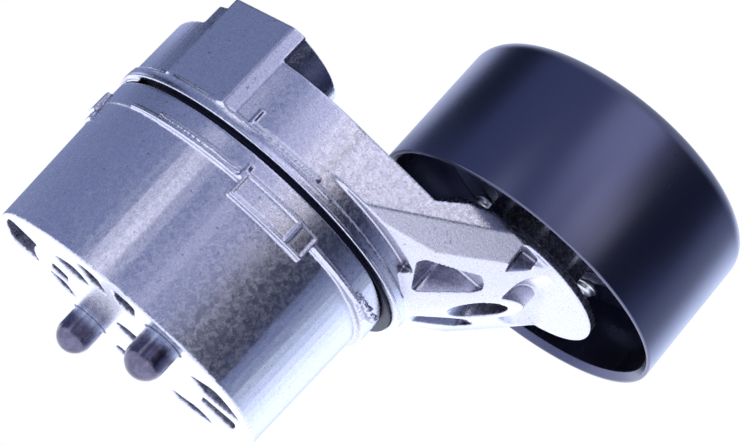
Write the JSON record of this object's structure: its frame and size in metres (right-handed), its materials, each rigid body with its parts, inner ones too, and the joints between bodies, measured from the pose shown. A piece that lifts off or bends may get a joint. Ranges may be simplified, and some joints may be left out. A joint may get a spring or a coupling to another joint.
{
  "type": "belt tensioner idler",
  "caption": "Spring-loaded belt tensioner: cast round spring housing, cast pivoting arm and smooth black idler pulley on a sealed ball bearing.",
  "frame": {"origin": "centre of the housing's mounting face, on the arm's pivot axis", "axes": "+Z runs along the pivot axis from the mounting face towards the pulley side, +X points from the pivot axis to the pulley axis with the arm resting on its free stop, +Y completes the right-handed set"},
  "size_m": [0.1482, 0.0934, 0.1251],
  "materials": {
    "cast_aluminium": "as cast, satin",
    "pin_steel": "satin",
    "steel": "machined",
    "spring_steel": "oiled",
    "polymer": "matte",
    "bush_polymer": "matte",
    "seal_rubber": "matte",
    "bolt_steel": "zinc plated",
    "bearing_steel": "ground",
    "rivet_steel": "bright",
    "black_coating": "satin black",
    "cage_brass": "satin"
  },
  "bodies": {
    "base": {"spring_housing": "cast_aluminium", "locating_pins": "pin_steel", "pivot_shaft": "steel", "torsion_spring": "spring_steel", "spring_seat": "polymer", "retaining_plate": "steel"},
    "arm": {"arm_casting": "cast_aluminium", "pivot_bush": "bush_polymer", "thrust_washer": "polymer", "damper_ring": "polymer", "gap_seal": "seal_rubber", "upper_spring_seat": "polymer", "bearing_spacer": "steel", "pulley_bolt": "bolt_steel", "bearing_inner_ring": "bearing_steel"},
    "pulley": {"pulley_shell": "black_coating", "bearing_carrier": "black_coating", "carrier_rivets": "rivet_steel", "bearing_outer_ring": "bearing_steel", "bearing_seal_rear": "seal_rubber", "bearing_seal_front": "seal_rubber", "dust_cap": "polymer"},
    "bearing_cage": {"bearing_balls": "bearing_steel", "bearing_cage": "cage_brass"}
  },
  "joints": [
    {"name": "arm_pivot", "type": "hinge", "parent": "base", "child": "arm", "pos_m": [0, 0, 0.0423], "axis": [0, 0, 1], "range_deg": [0, 55], "stiffness_Nm_per_rad": 25, "springref_deg": -51.57},
    {"name": "pulley_spin", "type": "hinge", "parent": "arm", "child": "pulley", "pos_m": [0.0595, 0, 0.098], "axis": [0, 0, 1], "continuous": true},
    {"name": "bearing_cage_spin", "type": "hinge", "parent": "arm", "child": "bearing_cage", "pos_m": [0.0595, 0, 0.098], "axis": [0, 0, 1], "continuous": true}
  ],
  "couplings": [
    {"joint": "bearing_cage_spin", "follows": "pulley_spin", "ratio": 0.6359}
  ]
}
